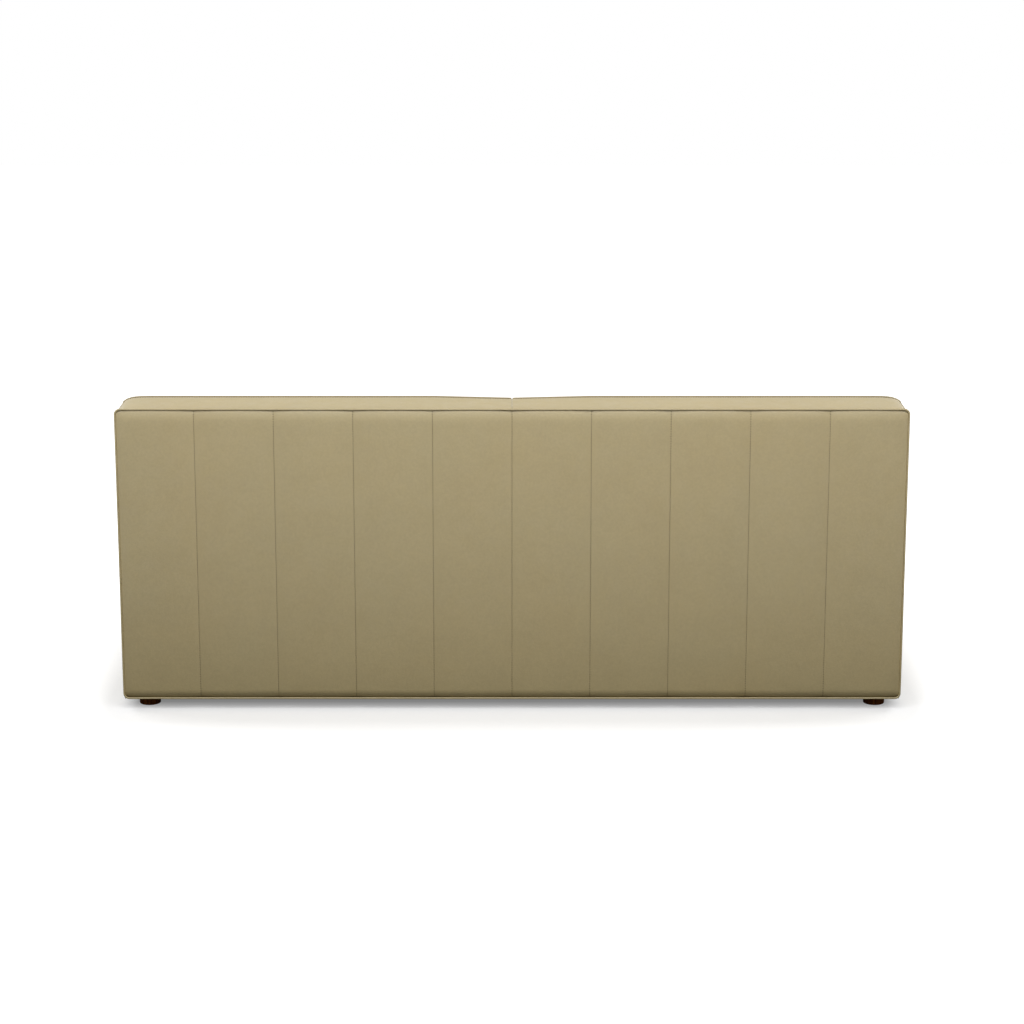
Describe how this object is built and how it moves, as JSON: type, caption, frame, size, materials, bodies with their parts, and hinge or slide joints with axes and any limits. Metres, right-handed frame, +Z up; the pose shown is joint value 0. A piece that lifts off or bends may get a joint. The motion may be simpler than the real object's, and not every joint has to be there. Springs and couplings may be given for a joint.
{
  "type": "leather sofa",
  "caption": "Low boxy leather sofa with a vertically seamed flat back, welted edges, straight arms, loose channelled seat cushions and low round feet.",
  "frame": {"origin": "on the floor under the middle of the sofa", "axes": "+X along the sofa's width, to the right of someone facing the seat; +Y towards the outside back; +Z up"},
  "size_m": [2.13, 0.88, 0.8495],
  "materials": {
    "leather": "satin",
    "wadding": "matte",
    "fibreboard": "matte",
    "deck_cloth": "matte",
    "dust_cloth": "matte",
    "frame_wood": "matte",
    "foot_wood": "satin",
    "steel": "satin",
    "webbing": "matte",
    "foam": "matte",
    "zip_tape": "matte",
    "zip_metal": "satin",
    "nylon": "matte"
  },
  "bodies": {
    "frame": {"outside_back_cover": "leather", "outside_back_wadding": "wadding", "outside_back_board": "fibreboard", "outside_back_welt": "leather", "front_border": "leather", "seat_deck": "deck_cloth", "dust_cover": "dust_cloth", "front_rail": "frame_wood", "rear_seat_rail": "frame_wood", "centre_rail": "frame_wood", "base_rear_rail": "frame_wood", "back_post_centre": "frame_wood", "back_top_rail": "frame_wood", "corner_blocks": "frame_wood", "seat_springs": "steel", "spring_clips": "steel", "back_webbing": "webbing", "foot_glides": "nylon", "tee_nuts": "steel", "hanger_bolts": "steel", "top_panel_left": "leather", "top_panel_right": "leather", "side_panel_left": "leather", "side_panel_right": "leather", "arm_cover_left": "leather", "arm_cover_right": "leather", "arm_pad_left": "foam", "arm_pad_right": "foam", "arm_facing_left": "leather", "arm_facing_right": "leather", "inside_back_cover_left": "leather", "inside_back_cover_right": "leather", "inside_back_foam_left": "foam", "inside_back_foam_right": "foam", "base_side_rail_left": "frame_wood", "base_side_rail_right": "frame_wood", "inner_arm_panel_left": "frame_wood", "inner_arm_panel_right": "frame_wood", "arm_front_board_left": "frame_wood", "arm_front_board_right": "frame_wood", "arm_top_board_left": "frame_wood", "arm_top_board_right": "frame_wood", "back_post_left": "frame_wood", "back_post_right": "frame_wood", "foot_front_left": "foot_wood", "foot_front_right": "foot_wood", "foot_rear_left": "foot_wood", "foot_rear_right": "foot_wood"},
    "seat_cushion_left": {"seat_cover_left": "leather", "seat_foam_left": "foam", "seat_zip_left": "zip_tape"},
    "seat_cushion_right": {"seat_cover_right": "leather", "seat_foam_right": "foam", "seat_zip_right": "zip_tape"},
    "zip_slider_left": {"zip_slider_left": "zip_metal"},
    "zip_slider_right": {"zip_slider_right": "zip_metal"}
  },
  "joints": [
    {"name": "cushion_lift_left", "type": "slide", "parent": "frame", "child": "seat_cushion_left", "axis": [0, 0, 1], "range_m": [0, 0.35]},
    {"name": "cushion_lift_right", "type": "slide", "parent": "frame", "child": "seat_cushion_right", "axis": [0, 0, 1], "range_m": [0, 0.35]},
    {"name": "zip_slide_left", "type": "slide", "parent": "seat_cushion_left", "child": "zip_slider_left", "axis": [-1, 0, 0], "range_m": [0, 0.618]},
    {"name": "zip_slide_right", "type": "slide", "parent": "seat_cushion_right", "child": "zip_slider_right", "axis": [1, 0, 0], "range_m": [0, 0.618]}
  ]
}
